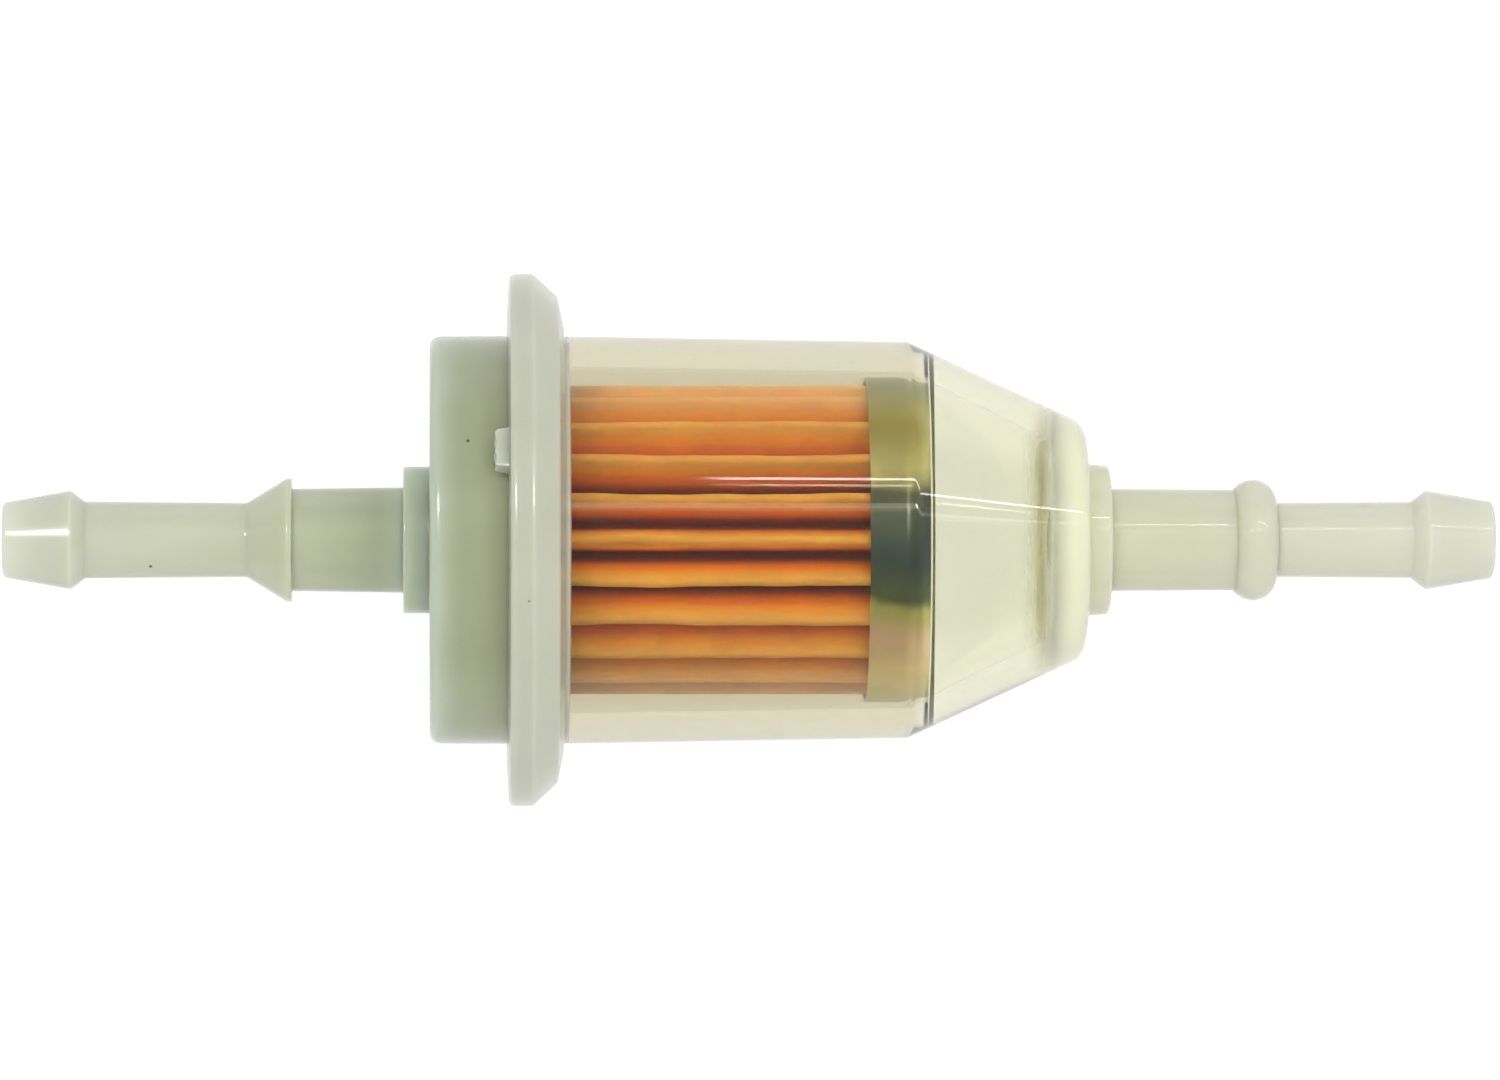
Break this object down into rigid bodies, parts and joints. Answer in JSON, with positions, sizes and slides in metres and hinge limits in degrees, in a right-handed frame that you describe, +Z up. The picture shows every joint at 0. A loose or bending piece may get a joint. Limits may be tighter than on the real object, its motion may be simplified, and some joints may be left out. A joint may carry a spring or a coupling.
{
  "type": "fuel filter",
  "caption": "Inline fuel filter: clear bowl and milky cap joined by a moulded ring, pleated paper element inside, stepped hose spigot at each end.",
  "frame": {"origin": "on the filter's axis, midway between the two spigot tips, where its two hoses hold it", "axes": "+X along the filter's axis towards the bowl's spigot, the inlet; +Z up, on the side of the gate stub"},
  "size_m": [0.1192, 0.0426, 0.0426],
  "materials": {
    "clear_plastic": "clear, slightly warm",
    "milky_plastic": "translucent, natural nylon",
    "white_plastic": "translucent, natural nylon",
    "filter_paper": "resin-cured cellulose paper",
    "zinc_steel": "yellow-passivated zinc on thin steel sheet",
    "bare_steel": "tinned steel sheet",
    "adhesive": "cured amber adhesive",
    "rubber": "matt nitrile rubber"
  },
  "bodies": {
    "root": {"bowl": "clear_plastic", "cap": "milky_plastic", "joint_ring": "white_plastic", "pleated_paper": "filter_paper", "seam_clip": "bare_steel", "blind_end_cap": "zinc_steel", "open_end_cap": "zinc_steel", "adhesive_blind_end": "adhesive", "adhesive_open_end": "adhesive", "centre_tube": "bare_steel", "sealing_ring": "rubber"}
  },
  "joints": []
}
